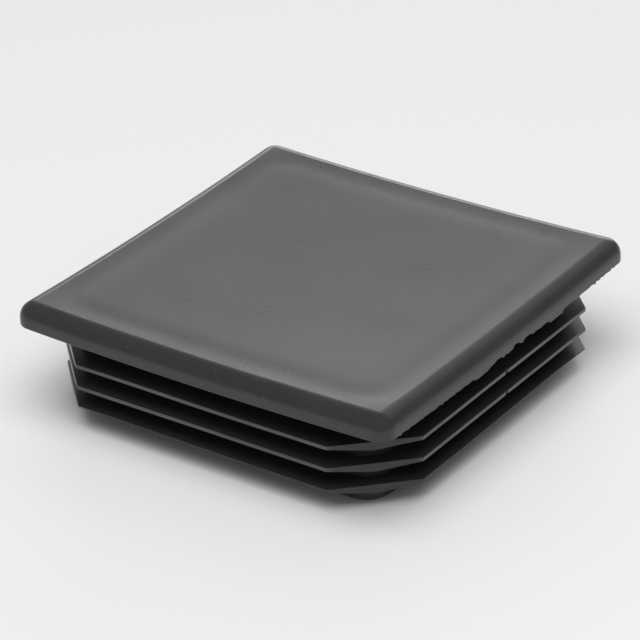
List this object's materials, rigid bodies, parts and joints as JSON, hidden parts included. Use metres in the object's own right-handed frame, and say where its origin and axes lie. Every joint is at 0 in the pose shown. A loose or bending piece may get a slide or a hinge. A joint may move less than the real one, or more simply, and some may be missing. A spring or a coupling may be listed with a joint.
{
  "type": "square tube end cap",
  "caption": "Square plastic end cap: a dished head plate with rounded edges on a hollow plug with gripping fins round it, for closing a square tube.",
  "frame": {"origin": "middle of the plug's open rim, which the cap stands on", "axes": "+Z out of the tube, through the head; +X and +Y square to the head's sides"},
  "size_m": [0.1, 0.1, 0.0283],
  "materials": {
    "cap_plastic": "fine moulded grain, low sheen"
  },
  "bodies": {
    "root": {"end_cap": "cap_plastic"}
  },
  "joints": []
}
